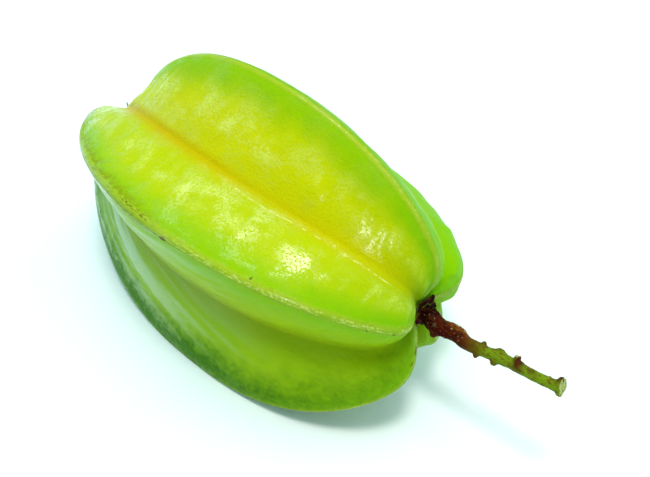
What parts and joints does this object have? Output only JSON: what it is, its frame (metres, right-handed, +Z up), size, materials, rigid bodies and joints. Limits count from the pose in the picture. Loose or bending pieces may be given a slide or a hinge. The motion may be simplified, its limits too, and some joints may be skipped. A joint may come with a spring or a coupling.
{
  "type": "star fruit",
  "caption": "Ripening star fruit with sharp waxy ribs and a knobbly cut stalk, lying on two of its ribs.",
  "frame": {"origin": "on the table, under the middle of the whole part's bounding box", "axes": "+X along the fruit from its blossom end to its stalk, +Z up from the table"},
  "size_m": [0.1326, 0.0584, 0.0594],
  "materials": {
    "waxy_skin": "waxy, glossy yellow-green skin",
    "stalk_bark": "rough bark, dark red-brown to green",
    "dried_sepal": "dry, matt, dark brown",
    "dried_style": "dry, matt, grey-green"
  },
  "bodies": {
    "root": {"fruit": "waxy_skin", "stalk": "stalk_bark", "sepal_1": "dried_sepal", "sepal_2": "dried_sepal", "sepal_3": "dried_sepal", "sepal_4": "dried_sepal", "sepal_5": "dried_sepal", "style_remnant": "dried_style"}
  },
  "joints": []
}
